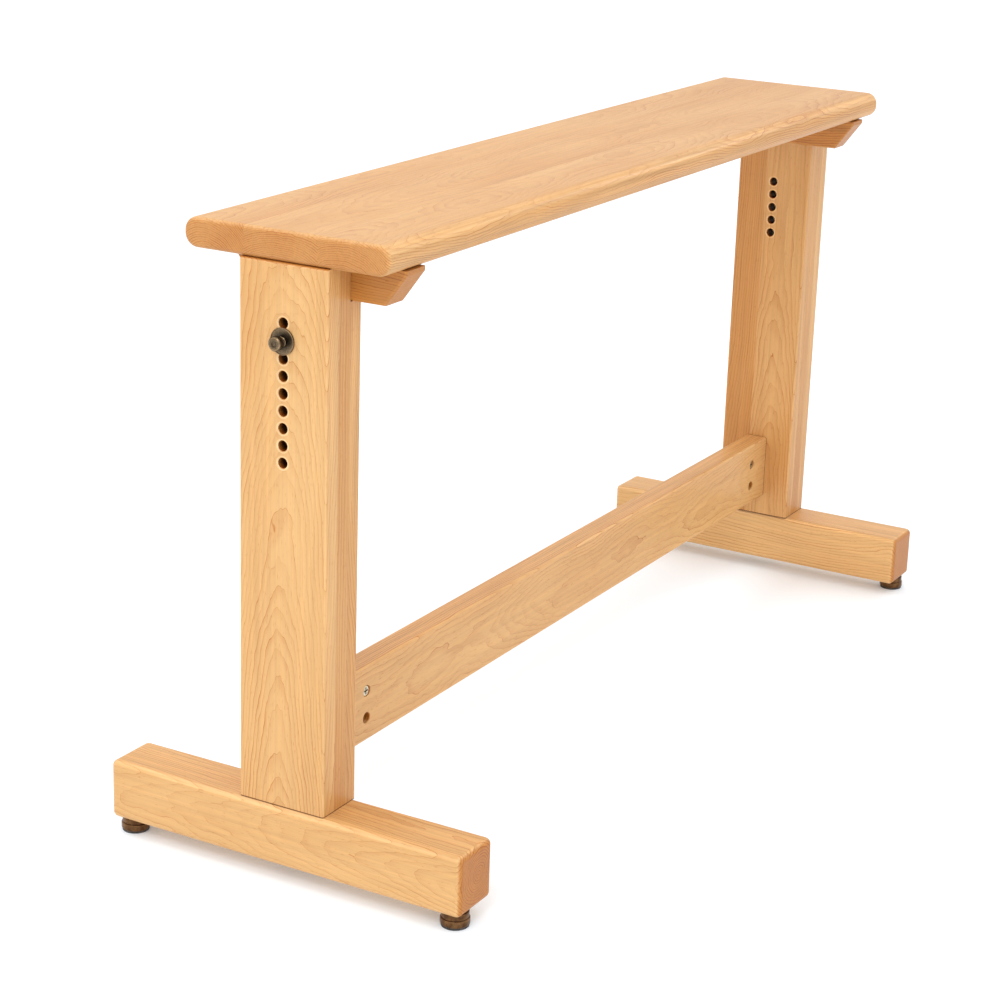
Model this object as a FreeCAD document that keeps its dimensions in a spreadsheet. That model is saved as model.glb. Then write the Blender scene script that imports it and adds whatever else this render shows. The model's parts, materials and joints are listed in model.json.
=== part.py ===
"""Height-adjustable weaver's bench: a seat plank on two posts, each on a sled foot, with a low stretcher.

The seat, its two cleats and two sliding tongues lift together out of the hollow posts. A locking bolt at
each end goes through a washer and one of the post's holes into a threaded insert of the tongue.

Frame: +X along the seat to the right end, +Y to the back, +Z up. The origin is on the floor, under the
middle of the seat. Millimetres. Each end is modelled once in its own frame, whose +X runs inward from the
outer face of the post; the right end is the same geometry turned half a turn about Z.
"""
import FreeCAD, Part
import os
import Sketcher

DIMENSIONS = {
    # seat plank
    "seat_length": 1118, "seat_width": 216, "seat_thickness": 28, "seat_top": 621,
    "seat_bullnose": 13, "seat_end_ease": 5,
    # posts, each three layers of board
    "span": 1120, "board": 18, "post_width": 94, "strip_width": 22, "post_ease": 2.5,
    "rest_gap": 0.3, "filler_height": 130,
    # height adjustment
    "hole_top": 539, "hole_pitch": 16, "hole_diameter": 10, "hole_ease": 0.6,
    "outer_holes": 9, "inner_holes": 5, "inner_start": 2, "bolt_index": 1,
    # cleats under the seat and the tongues that slide in the posts
    "cleat_thickness": 32, "cleat_height": 34, "cleat_front": 104, "cleat_back": 78,
    "cleat_bevel_run": 22, "cleat_bevel_rise": 30, "cleat_ease": 2.5,
    "tongue_clearance": 0.3, "tongue_below": 19, "insert_diameter": 12, "insert_bore": 9.7,
    "cleat_relief": 0.7,
    # sled feet
    "foot_length": 394, "foot_width": 58, "foot_height": 60, "foot_round": 6, "foot_lift": 16,
    "glide_inset": 15, "glide_offset": 10,
    # stretcher and its cam connectors
    "stretcher_thickness": 28, "stretcher_bottom": 101, "stretcher_height": 78, "stretcher_ease": 3,
    "cam_left": 70, "cam_right": 42, "cam_diameter": 11.4, "cam_upper": 52, "cam_lower": 24,
    "cam_clearance": 0.2,
    "upper_cam_recess": 1.2, "lower_cam_recess": 6, "cam_end": 4.5, "cam_slot_depth": 2.3,
    "cam_slot_arm": 3.6, "cam_slot_half": 0.8, "stud_diameter": 6, "stud_in_post": 26,
    # locking bolts
    "bolt_diameter": 9.5, "bolt_head": 13.5, "head_length": 6, "head_ease": 1.2, "bolt_standoff": 11.8,
    "bolt_tip": 17.6, "washer_diameter": 25, "washer_thickness": 2.2, "washer_bore": 10,
    # floor levellers
    "glide_diameter": 28, "glide_height": 9, "pad_height": 2.5, "pad_diameter": 26.6,
    "glide_chamfer": 1, "glide_taper": 0.8, "pad_chamfer": 0.6,
    "collar_diameter": 26, "collar_height": 6.2, "collar_chamfer": 0.5, "stem_diameter": 8, "stem_top": 50,
    "sleeve_diameter": 12, "sleeve_length": 20, "sleeve_flange": 22, "flange_height": 1.6,
    # screws, bolts and dowels
    "lag_diameter": 8, "lag_length": 105, "lag_head": 13, "lag_head_height": 5.5, "lag_spacing": 24,
    "counterbore": 20, "counterbore_depth": 14, "lag_washer": 18, "fit": 0.1, "spare_depth": 1,
    "dowel_diameter": 10, "dowel_length": 40, "dowel_spacing": 72, "dowel_bevel": 1.2,
    "screw_diameter": 4.5, "screw_head": 8.6, "screw_head_height": 2.6, "screw_rim": 0.5,
    "screw_slot_arm": 2.1, "screw_slot_half": 0.5, "screw_slot_depth": 1.3, "cleat_screw_length": 48,
    "cleat_screw_front": 68, "cleat_screw_back": 44, "cleat_counterbore": 5, "counterbore_gap": 1,
    "tongue_screw_spacing": 30, "tongue_screw_drop": 14, "tongue_screw_length": 34,
}

LEFT, RIGHT = "left", "right"
Z_AXIS = FreeCAD.Vector(0, 0, 1)

doc = FreeCAD.newDocument("loom_bench")
dims = doc.addObject("Spreadsheet::Sheet", "Dims")
for row, (alias, number) in enumerate(DIMENSIONS.items(), start=1):
    dims.set(f"A{row}", alias)
    dims.set(f"B{row}", str(number))
    dims.setAlias(f"B{row}", alias)
doc.recompute()

# Heights and depths that several sub-parts share, as formulas of the driving dimensions.
SEAT_BOTTOM = "(Dims.seat_top - Dims.seat_thickness)"
POST_TOP = "(Dims.seat_top - Dims.seat_thickness - Dims.rest_gap)"
FOOT_TOP = "(Dims.foot_lift + Dims.foot_height)"
CLEAT_BOTTOM = "(Dims.seat_top - Dims.seat_thickness - Dims.cleat_height)"
INNER_TOP = f"({CLEAT_BOTTOM} - 2 * Dims.rest_gap)"
POST_DEPTH = "(3 * Dims.board)"
CAVITY_WIDTH = "(Dims.post_width - 2 * Dims.strip_width)"
TONGUE_DEPTH = "(Dims.board - 2 * Dims.tongue_clearance)"
CLEAT_FACE = "(2 * Dims.board - Dims.tongue_clearance)"
TONGUE_BOTTOM = "(Dims.hole_top - (Dims.outer_holes - 1) * Dims.hole_pitch - Dims.tongue_below)"
BOLT_HEIGHT = "(Dims.hole_top - Dims.bolt_index * Dims.hole_pitch)"
GLIDE_OUT = "(Dims.foot_length / 2 - Dims.glide_inset)"
GLIDE_MIDDLE = "(3 * Dims.board - Dims.foot_width / 2 - Dims.glide_offset)"


def number(expression):
    """The value of an expression of the sheet's cells."""
    return float(dims.evalExpression(expression))


def origin_feature(body, role):
    return next(item for item in body.Origin.OriginFeatures if item.Role == role)


def new_body(label):
    body = doc.addObject("PartDesign::Body", label)
    body.Label = label
    return body


def new_sketch(body, role, name, offset=None):
    """A sketch on one of the body's own origin planes, or parallel to it at an offset along its normal."""
    sketch = body.newObject("Sketcher::SketchObject", f"{body.Label}_{name}")
    sketch.AttachmentSupport = [(origin_feature(body, role), "")]
    sketch.MapMode = "FlatFace"
    if offset is not None:
        sketch.setExpression("AttachmentOffset.Base.z", offset)
    return sketch


def pin_point(sketch, geometry, point, x_expression, y_expression):
    """Dimensions one point of the sketch from the origin, each distance bound to its expression."""
    for axis, kind, expression in ((-2, "DistanceX", x_expression), (-1, "DistanceY", y_expression)):
        if abs(number(expression)) < 1e-9:
            sketch.addConstraint(Sketcher.Constraint("PointOnObject", geometry, point, axis))
            continue
        index = sketch.addConstraint(
            Sketcher.Constraint(kind, -1, 1, geometry, point, number(expression)))
        sketch.renameConstraint(index, f"{kind}_{geometry}_{point}")
        sketch.setExpression(f"Constraints.{kind}_{geometry}_{point}", expression)


def polygon(sketch, points):
    """A closed outline through points given as pairs of expressions."""
    places = [FreeCAD.Vector(number(x), number(y), 0) for x, y in points]
    first = len(sketch.Geometry)
    count = len(points)
    for index in range(count):
        sketch.addGeometry(Part.LineSegment(places[index], places[(index + 1) % count]), False)
    for index in range(count):
        following = first + (index + 1) % count
        sketch.addConstraint(Sketcher.Constraint("Coincident", first + index, 2, following, 1))
    for index, (x, y) in enumerate(points):
        pin_point(sketch, first + index, 1, x, y)


def rectangle(sketch, left, right, bottom, top):
    polygon(sketch, [(left, bottom), (right, bottom), (right, top), (left, top)])


def circle(sketch, x, y, diameter):
    centre = FreeCAD.Vector(number(x), number(y), 0)
    index = sketch.addGeometry(Part.Circle(centre, Z_AXIS, number(diameter) / 2), False)
    pin_point(sketch, index, 3, x, y)
    size = sketch.addConstraint(Sketcher.Constraint("Diameter", index, number(diameter)))
    sketch.renameConstraint(size, f"diameter_{index}")
    sketch.setExpression(f"Constraints.diameter_{index}", diameter)


def pad(body, sketch, length, reverse=False, midplane=False):
    feature = body.newObject("PartDesign::Pad", f"{sketch.Name}_pad")
    feature.Profile = sketch
    feature.Reversed = reverse
    feature.Midplane = midplane
    feature.setExpression("Length", length)
    doc.recompute()
    return feature


def pocket(body, sketch, length=None, reverse=False, midplane=False):
    """A cut along the sketch's normal, through everything unless it has a length. It has to remove wood."""
    before = body.Shape.Volume
    feature = body.newObject("PartDesign::Pocket", f"{sketch.Name}_pocket")
    feature.Profile = sketch
    feature.Reversed = reverse
    feature.Midplane = midplane
    if length is None:
        feature.Type = "ThroughAll"
    else:
        feature.setExpression("Length", length)
    doc.recompute()
    if not body.Shape.Volume < before - 1:
        raise RuntimeError(f"{feature.Name} cuts nothing")
    return feature


def revolve(body, sketch, axis):
    feature = body.newObject("PartDesign::Revolution", f"{sketch.Name}_turned")
    feature.Profile = sketch
    feature.ReferenceAxis = (sketch, [axis])
    feature.Angle = 360
    doc.recompute()
    return feature


def repeat(body, feature, sketch, axis, length, count):
    """A row of equal features along a sketch axis, the first one where the feature is."""
    pattern = body.newObject("PartDesign::LinearPattern", f"{feature.Name}_row")
    pattern.Originals = [feature]
    pattern.Direction = (sketch, [axis])
    pattern.Reversed = number(length) < 0
    pattern.setExpression("Length", f"abs({length})")
    pattern.setExpression("Occurrences", count)
    body.Tip = pattern
    doc.recompute()
    return pattern


def edge_names(shape, wanted):
    return [f"Edge{index}" for index, edge in enumerate(shape.Edges, start=1) if wanted(edge)]


def dress(body, kind, size_name, size, wanted):
    """Rounds (Fillet) or bevels (Chamfer) the edges of the body's last feature that the test accepts."""
    base = body.Tip
    names = edge_names(base.Shape, wanted)
    if not names:
        raise RuntimeError(f"{body.Label} has no edge for its {kind}")
    feature = body.newObject(f"PartDesign::{kind}", f"{body.Label}_{kind}_{len(body.Group)}")
    feature.Base = (base, names)
    feature.setExpression(size_name, size)
    body.Tip = feature
    doc.recompute()
    return feature


def round_edges(body, radius, wanted):
    return dress(body, "Fillet", "Radius", radius, wanted)


def bevel_edges(body, size, wanted):
    return dress(body, "Chamfer", "Size", size, wanted)


def along(edge, axis):
    """True for a straight edge that runs along the axis (0 for X, 1 for Y, 2 for Z)."""
    if not isinstance(edge.Curve, Part.Line):
        return False
    direction = edge.Curve.Direction
    return abs(abs((direction.x, direction.y, direction.z)[axis]) - 1) < 1e-6


def at(edge, axis, value):
    """True for an edge that lies wholly in the plane where the coordinate has the value."""
    box = edge.BoundBox
    lows = (box.XMin, box.YMin, box.ZMin)
    highs = (box.XMax, box.YMax, box.ZMax)
    return abs(lows[axis] - value) < 1e-4 and abs(highs[axis] - value) < 1e-4


def is_mouth(edge, axis, value, diameter):
    """True for a hole's round rim in that plane."""
    return (isinstance(edge.Curve, Part.Circle) and at(edge, axis, value)
            and abs(edge.Curve.Radius - diameter / 2) < 1e-4)


def place(item, side, inward="0", back="0", height="0"):
    """Puts a sub-part in its end frame. Inward counts from the outer face of the post."""
    sign = "-1" if side == LEFT else "1"
    if side == RIGHT:
        item.Placement.Rotation = FreeCAD.Rotation(Z_AXIS, 180)
    item.setExpression("Placement.Base.x", f"{sign} * (Dims.span / 2 - ({inward}))")
    item.setExpression("Placement.Base.y", f"-1 * ({sign}) * ({back})")
    item.setExpression("Placement.Base.z", height)


def group(label, pieces):
    """Identical fasteners in one sub-part: separate solids that do not touch."""
    item = doc.addObject("Part::Compound", label)
    item.Label = label
    item.Links = pieces
    return item


# ---------------------------------------------------------------- seat and sliding parts

def make_seat():
    """The plank: big bullnose on the long edges, ends only eased."""
    body = new_body("seat")
    sketch = new_sketch(body, "YZ_Plane", "profile")
    rectangle(sketch, "-Dims.seat_width / 2", "Dims.seat_width / 2", "-Dims.seat_thickness", "0")
    pad(body, sketch, "Dims.seat_length", midplane=True)
    round_edges(body, "Dims.seat_bullnose", lambda edge: along(edge, 0))
    end = number("Dims.seat_length / 2")
    round_edges(body, "Dims.seat_end_ease", lambda edge: at(edge, 0, end) or at(edge, 0, -end))
    driver = new_sketch(body, "XY_Plane", "screw_sockets", "-Dims.seat_thickness")
    for sign in ("-1", "1"):
        for back in ("-Dims.cleat_screw_front", "Dims.cleat_screw_back"):
            circle(driver, f"{sign} * (Dims.span / 2 - {CLEAT_FACE} - Dims.cleat_thickness / 2)", back,
                   "Dims.screw_diameter + 2 * Dims.fit")
    pocket(body, driver, "Dims.cleat_screw_length - Dims.cleat_height + Dims.cleat_counterbore"
           " + Dims.spare_depth", reverse=True)
    body.setExpression("Placement.Base.z", "Dims.seat_top")
    return body


def cleat_screw_spots(side):
    """The cleat's front and back screw, as places across the bench in the end's own frame."""
    turn = "1" if side == LEFT else "-1"
    return f"{turn} * -Dims.cleat_screw_front", f"{turn} * Dims.cleat_screw_back"


def make_cleat(side):
    """The bearer across the seat's underside, its ends cut back below. It reaches further to the front."""
    body = new_body(f"{side}_cleat")
    run, rise, height = "Dims.cleat_bevel_run", "Dims.cleat_bevel_rise", "Dims.cleat_height"
    reaches = ["Dims.cleat_front", "Dims.cleat_back"]
    if side == RIGHT:
        reaches.reverse()
    ahead, behind = reaches
    sketch = new_sketch(body, "YZ_Plane", "profile")
    polygon(sketch, [
        (f"-{ahead} + {run}", "0"), (f"{behind} - {run}", "0"),
        (behind, rise), (behind, height),
        (f"-{ahead}", height), (f"-{ahead}", rise)])
    pad(body, sketch, "Dims.cleat_thickness")
    top = number(height)
    thickness = number("Dims.cleat_thickness")
    round_edges(body, "Dims.cleat_ease",
                lambda edge: not at(edge, 2, top) and (at(edge, 0, 0) or at(edge, 0, thickness)))
    middle = "Dims.cleat_thickness / 2"
    holes = new_sketch(body, "XY_Plane", "screw_holes")
    heads = new_sketch(body, "XY_Plane", "screw_heads")
    for across in cleat_screw_spots(side):
        circle(holes, middle, across, "Dims.screw_diameter + 2 * Dims.fit")
        circle(heads, middle, across, "Dims.screw_head + Dims.counterbore_gap")
    pocket(body, holes, reverse=True)
    pocket(body, heads, "Dims.cleat_counterbore + Dims.screw_head_height + Dims.fit", reverse=True)
    sockets = new_sketch(body, "YZ_Plane", "tongue_screw_sockets")
    for across in ("-1", "1"):
        circle(sockets, f"{across} * Dims.tongue_screw_spacing / 2",
               "Dims.cleat_height - Dims.tongue_screw_drop", "Dims.screw_diameter + 2 * Dims.fit")
    pocket(body, sockets, f"Dims.tongue_screw_length - {TONGUE_DEPTH} + Dims.spare_depth", reverse=True)
    place(body, side, CLEAT_FACE, height=CLEAT_BOTTOM)
    return body


def make_tongue(side):
    """The slider board that runs in the hollow post, with a row of bores for the threaded inserts."""
    body = new_body(f"{side}_tongue")
    half = f"({CAVITY_WIDTH} / 2 - Dims.tongue_clearance)"
    sketch = new_sketch(body, "YZ_Plane", "outline")
    rectangle(sketch, f"-{half}", half, TONGUE_BOTTOM, SEAT_BOTTOM)
    pad(body, sketch, TONGUE_DEPTH)
    bore = new_sketch(body, "YZ_Plane", "insert_bore")
    circle(bore, "0", BOLT_HEIGHT, "Dims.insert_diameter + Dims.fit")
    first = pocket(body, bore, reverse=True)
    repeat(body, first, bore, "V_Axis", "-(Dims.outer_holes - 2) * Dims.hole_pitch", "Dims.outer_holes - 1")
    screws = new_sketch(body, "YZ_Plane", "screw_holes")
    heads = new_sketch(body, "YZ_Plane", "screw_heads")
    for across in ("-1", "1"):
        spot = (f"{across} * Dims.tongue_screw_spacing / 2", f"{SEAT_BOTTOM} - Dims.tongue_screw_drop")
        circle(screws, *spot, "Dims.screw_diameter + 2 * Dims.fit")
        circle(heads, *spot, "Dims.screw_head + 4 * Dims.fit")
    pocket(body, screws, reverse=True)
    pocket(body, heads, "Dims.screw_head_height + 4 * Dims.fit", reverse=True)
    place(body, side, "Dims.board + Dims.tongue_clearance")
    return body


def make_tongue_inserts(side):
    """Threaded inserts, one in each bore of the tongue."""
    inserts = []
    for index in range(int(number("Dims.outer_holes - 1"))):
        body = new_body(f"{side}_tongue_insert_{index + 1}")
        sketch = new_sketch(body, "YZ_Plane", "ring")
        height = f"{BOLT_HEIGHT} - {index} * Dims.hole_pitch"
        circle(sketch, "0", height, "Dims.insert_diameter")
        circle(sketch, "0", height, "Dims.insert_bore")
        pad(body, sketch, TONGUE_DEPTH)
        place(body, side, "Dims.board + Dims.tongue_clearance")
        inserts.append(body)
    return group(f"{side}_tongue_inserts", inserts)


# ---------------------------------------------------------------- fasteners

def make_screw(label, length):
    """A countersunk wood screw along +Z, the top of its head at z = 0 and its point upward."""
    body = new_body(label)
    sketch = new_sketch(body, "XZ_Plane", "profile")
    head, shank = "Dims.screw_head / 2", "Dims.screw_diameter / 2"
    polygon(sketch, [
        ("0", "0"), (head, "0"), (head, "Dims.screw_rim"),
        (shank, "Dims.screw_head_height"), (shank, f"{length} - Dims.screw_diameter"), ("0", length)])
    revolve(body, sketch, "V_Axis")
    slot = new_sketch(body, "XY_Plane", "cross_recess")
    arm, half = "Dims.screw_slot_arm", "Dims.screw_slot_half"
    rectangle(slot, f"-{arm}", arm, f"-{half}", half)
    pocket(body, slot, "Dims.screw_slot_depth", reverse=True)
    other = new_sketch(body, "XY_Plane", "cross_recess_b")
    rectangle(other, f"-{half}", half, f"-{arm}", arm)
    pocket(body, other, "Dims.screw_slot_depth", reverse=True)
    return body


def make_cleat_screws(side):
    """Two screws up through the cleat into the seat."""
    screws = []
    for name, across in zip(("front", "back"), cleat_screw_spots(side)):
        screw = make_screw(f"{side}_{name}_cleat_screw", "Dims.cleat_screw_length")
        place(screw, side, f"{CLEAT_FACE} + Dims.cleat_thickness / 2", across,
              f"{CLEAT_BOTTOM} + Dims.cleat_counterbore")
        screws.append(screw)
    return group(f"{side}_cleat_screws", screws)


def make_tongue_screws(side):
    """Two screws through the tongue's outer face into the cleat."""
    screws = []
    inward = FreeCAD.Rotation(FreeCAD.Vector(0, 1, 0), 90 if side == LEFT else -90)
    for name, across in (("front", "-1"), ("back", "1")):
        screw = make_screw(f"{side}_{name}_tongue_screw", "Dims.tongue_screw_length")
        place(screw, side, "Dims.board + Dims.tongue_clearance + 2 * Dims.fit",
              f"{across} * Dims.tongue_screw_spacing / 2", f"{SEAT_BOTTOM} - Dims.tongue_screw_drop")
        screw.Placement.Rotation = inward
        screws.append(screw)
    return group(f"{side}_tongue_screws", screws)


# ---------------------------------------------------------------- posts

def drill_row(body, name, first_height, count):
    """The row of adjusting holes through a board, from the first one down."""
    sketch = new_sketch(body, "YZ_Plane", name)
    circle(sketch, "0", first_height, "Dims.hole_diameter")
    first = pocket(body, sketch, reverse=True)
    return repeat(body, first, sketch, "V_Axis", f"-({count} - 1) * Dims.hole_pitch", count)


def make_outer_board(side):
    """The post's outside layer, full height, with all the adjusting holes."""
    body = new_body(f"{side}_outer_board")
    half = "Dims.post_width / 2"
    sketch = new_sketch(body, "YZ_Plane", "outline")
    rectangle(sketch, f"-{half}", half, FOOT_TOP, POST_TOP)
    pad(body, sketch, "Dims.board")
    drill_row(body, "adjusting_hole", "Dims.hole_top", "Dims.outer_holes")
    width, top = number(half), number(POST_TOP)
    round_edges(body, "Dims.post_ease",
                lambda edge: at(edge, 0, 0) and (at(edge, 1, width) or at(edge, 1, -width)
                                                 or at(edge, 2, top)))
    hole = number("Dims.hole_diameter")
    bevel_edges(body, "Dims.hole_ease", lambda edge: is_mouth(edge, 0, 0, hole))
    place(body, side)
    return body


def make_inner_board(side):
    """The post's inside layer, which stops under the cleat, with the lower adjusting holes."""
    body = new_body(f"{side}_inner_board")
    half = "Dims.post_width / 2"
    sketch = new_sketch(body, "YZ_Plane", "outline")
    rectangle(sketch, f"-{half}", half, FOOT_TOP, INNER_TOP)
    pad(body, sketch, "Dims.board")
    drill_row(body, "adjusting_hole", "Dims.hole_top - Dims.inner_start * Dims.hole_pitch",
              "Dims.inner_holes")
    face, width = number("Dims.board"), number(half)
    round_edges(body, "Dims.post_ease",
                lambda edge: at(edge, 0, face) and (at(edge, 1, width) or at(edge, 1, -width)))
    hole = number("Dims.hole_diameter")
    bevel_edges(body, "Dims.hole_ease", lambda edge: is_mouth(edge, 0, face, hole))
    studs = new_sketch(body, "YZ_Plane", "stud_holes")
    for level in ("Dims.cam_upper", "Dims.cam_lower"):
        circle(studs, "0", f"Dims.stretcher_bottom + {level}", "Dims.stud_diameter + 2 * Dims.fit")
    pocket(body, studs, reverse=True)
    place(body, side, "2 * Dims.board")
    return body


def make_side_strip(side, name, across):
    """A middle layer at the front or back of the post, relieved at the top where the cleat passes."""
    body = new_body(f"{side}_{name}_strip")
    relieved = "Dims.board - Dims.cleat_relief"
    sketch = new_sketch(body, "XZ_Plane", "profile")
    polygon(sketch, [
        ("0", FOOT_TOP), ("Dims.board", FOOT_TOP), ("Dims.board", INNER_TOP),
        (relieved, INNER_TOP), (relieved, POST_TOP), ("0", POST_TOP)])
    pad(body, sketch, "Dims.strip_width", midplane=True)
    socket = new_sketch(body, "XY_Plane", "dowel_socket", FOOT_TOP)
    circle(socket, "Dims.board / 2", "0", "Dims.dowel_diameter + 2 * Dims.fit")
    pocket(body, socket, "Dims.dowel_length / 2 + Dims.spare_depth", reverse=True)
    place(body, side, "Dims.board", f"{across} * (Dims.post_width - Dims.strip_width) / 2")
    return body


def make_filler_block(side):
    """The solid core at the foot of the post, which takes the post bolts and the stretcher's studs."""
    body = new_body(f"{side}_filler_block")
    half = f"{CAVITY_WIDTH} / 2"
    sketch = new_sketch(body, "YZ_Plane", "outline")
    rectangle(sketch, f"-{half}", half, FOOT_TOP, f"{FOOT_TOP} + Dims.filler_height")
    pad(body, sketch, "Dims.board")
    bolts = new_sketch(body, "XY_Plane", "bolt_holes", FOOT_TOP)
    for across in ("-1", "1"):
        circle(bolts, "Dims.board / 2", f"{across} * Dims.lag_spacing / 2",
               "Dims.lag_diameter + 2 * Dims.fit")
    pocket(body, bolts,
           "Dims.lag_length - (Dims.foot_height - Dims.counterbore_depth) + Dims.spare_depth", reverse=True)
    studs = new_sketch(body, "YZ_Plane", "stud_holes", "Dims.board")
    for level in ("Dims.cam_upper", "Dims.cam_lower"):
        circle(studs, "0", f"Dims.stretcher_bottom + {level}", "Dims.stud_diameter + 2 * Dims.fit")
    pocket(body, studs, "Dims.stud_in_post - Dims.board + Dims.spare_depth")
    place(body, side, "Dims.board")
    return body


# ---------------------------------------------------------------- feet

def make_foot(side):
    """The sled foot: a bar from front to back with rounded edges, bored from below."""
    body = new_body(f"{side}_foot")
    half = "Dims.foot_length / 2"
    sketch = new_sketch(body, "XZ_Plane", "section")
    rectangle(sketch, f"{POST_DEPTH} - Dims.foot_width", POST_DEPTH, "Dims.foot_lift", FOOT_TOP)
    pad(body, sketch, "Dims.foot_length", midplane=True)
    end = number(half)
    round_edges(body, "Dims.foot_round",
                lambda edge: along(edge, 1) or at(edge, 1, end) or at(edge, 1, -end))
    middle = "1.5 * Dims.board"
    shanks = new_sketch(body, "XY_Plane", "bolt_holes", "Dims.foot_lift")
    heads = new_sketch(body, "XY_Plane", "bolt_counterbores", "Dims.foot_lift")
    sockets = new_sketch(body, "XY_Plane", "dowel_sockets", FOOT_TOP)
    for across in ("-1", "1"):
        bolt = (middle, f"{across} * Dims.lag_spacing / 2")
        circle(shanks, *bolt, "Dims.lag_diameter + 2 * Dims.fit")
        circle(heads, *bolt, "Dims.counterbore")
        circle(sockets, middle, f"{across} * Dims.dowel_spacing / 2",
               "Dims.dowel_diameter + 2 * Dims.fit")
    pocket(body, shanks, reverse=True)
    pocket(body, heads, "Dims.counterbore_depth", reverse=True)
    pocket(body, sockets, "Dims.dowel_length / 2 + Dims.spare_depth")
    sleeves = new_sketch(body, "XY_Plane", "leveller_bores", "Dims.foot_lift")
    flanges = new_sketch(body, "XY_Plane", "flange_recesses", "Dims.foot_lift")
    for across in ("-1", "1"):
        spot = (GLIDE_MIDDLE, f"{across} * {GLIDE_OUT}")
        circle(sleeves, *spot, "Dims.sleeve_diameter + 2 * Dims.fit")
        circle(flanges, *spot, "Dims.sleeve_flange + 4 * Dims.fit")
    pocket(body, sleeves, "Dims.stem_top - Dims.foot_lift + 2 * Dims.spare_depth", reverse=True)
    pocket(body, flanges, "Dims.flange_height", reverse=True)
    place(body, side)
    return body


def make_post_bolts(side):
    """Two hexagon-head bolts with washers, up through the foot into the post's core."""
    bolts = []
    for name, across in (("front", "-1"), ("back", "1")):
        body = new_body(f"{side}_{name}_post_bolt")
        shank = new_sketch(body, "XY_Plane", "shank")
        circle(shank, "0", "0", "Dims.lag_diameter")
        pad(body, shank, "Dims.lag_length")
        washer = new_sketch(body, "XY_Plane", "washer")
        circle(washer, "0", "0", "Dims.lag_washer")
        pad(body, washer, "Dims.flange_height", reverse=True)
        head = new_sketch(body, "XY_Plane", "head", "-Dims.flange_height")
        flat, point = "Dims.lag_head / 2", "Dims.lag_head / (2 * cos(30))"
        polygon(head, [(point, "0"), (f"{point} / 2", flat), (f"-{point} / 2", flat),
                       (f"-{point}", "0"), (f"-{point} / 2", f"-{flat}"), (f"{point} / 2", f"-{flat}")])
        pad(body, head, "Dims.lag_head_height", reverse=True)
        place(body, side, "1.5 * Dims.board", f"{across} * Dims.lag_spacing / 2",
              "Dims.foot_lift + Dims.counterbore_depth")
        bolts.append(body)
    return group(f"{side}_post_bolts", bolts)


def make_dowels(side):
    """Two hardwood dowels that locate the post on the foot."""
    dowels = []
    for name, across in (("front", "-1"), ("back", "1")):
        body = new_body(f"{side}_{name}_dowel")
        sketch = new_sketch(body, "XY_Plane", "section")
        circle(sketch, "0", "0", "Dims.dowel_diameter")
        pad(body, sketch, "Dims.dowel_length", midplane=True)
        bevel_edges(body, "Dims.dowel_bevel", lambda edge: isinstance(edge.Curve, Part.Circle))
        place(body, side, "1.5 * Dims.board", f"{across} * Dims.dowel_spacing / 2", FOOT_TOP)
        dowels.append(body)
    return group(f"{side}_dowels", dowels)


# ---------------------------------------------------------------- stretcher

def cam_distance(side):
    """How far a cam's axis stands from the post at this end."""
    return f"Dims.cam_{side}"


def make_stretcher():
    """The low rail between the posts, bored at each end for the cam connectors."""
    body = new_body("stretcher")
    half = "Dims.stretcher_thickness / 2"
    top = "(Dims.stretcher_bottom + Dims.stretcher_height)"
    sketch = new_sketch(body, "YZ_Plane", "section")
    rectangle(sketch, f"-{half}", half, "Dims.stretcher_bottom", top)
    pad(body, sketch, f"Dims.span - 2 * {POST_DEPTH}", midplane=True)
    round_edges(body, "Dims.stretcher_ease", lambda edge: along(edge, 0))
    face = new_sketch(body, "XZ_Plane", "cam_bores", half)
    for side, sign in ((LEFT, "-1"), (RIGHT, "1")):
        for level in ("Dims.cam_upper", "Dims.cam_lower"):
            circle(face, f"{sign} * (Dims.span / 2 - {POST_DEPTH} - {cam_distance(side)})",
                   f"Dims.stretcher_bottom + {level}", "Dims.cam_diameter")
    pocket(body, face, f"{half} + Dims.cam_end + Dims.cam_clearance")
    rim = number("Dims.cam_diameter")
    front = number(f"-{half}")
    bevel_edges(body, "Dims.hole_ease", lambda edge: is_mouth(edge, 1, front, rim))
    end = f"(Dims.span / 2 - {POST_DEPTH})"
    for side, reach, reverse in ((LEFT, f"-{end}", True), (RIGHT, end, False)):
        studs = new_sketch(body, "YZ_Plane", f"{side}_studs", reach)
        for level in ("Dims.cam_upper", "Dims.cam_lower"):
            circle(studs, "0", f"Dims.stretcher_bottom + {level}", "Dims.stud_diameter + 2 * Dims.fit")
        pocket(body, studs, cam_distance(side), reverse=reverse)
    return body


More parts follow.
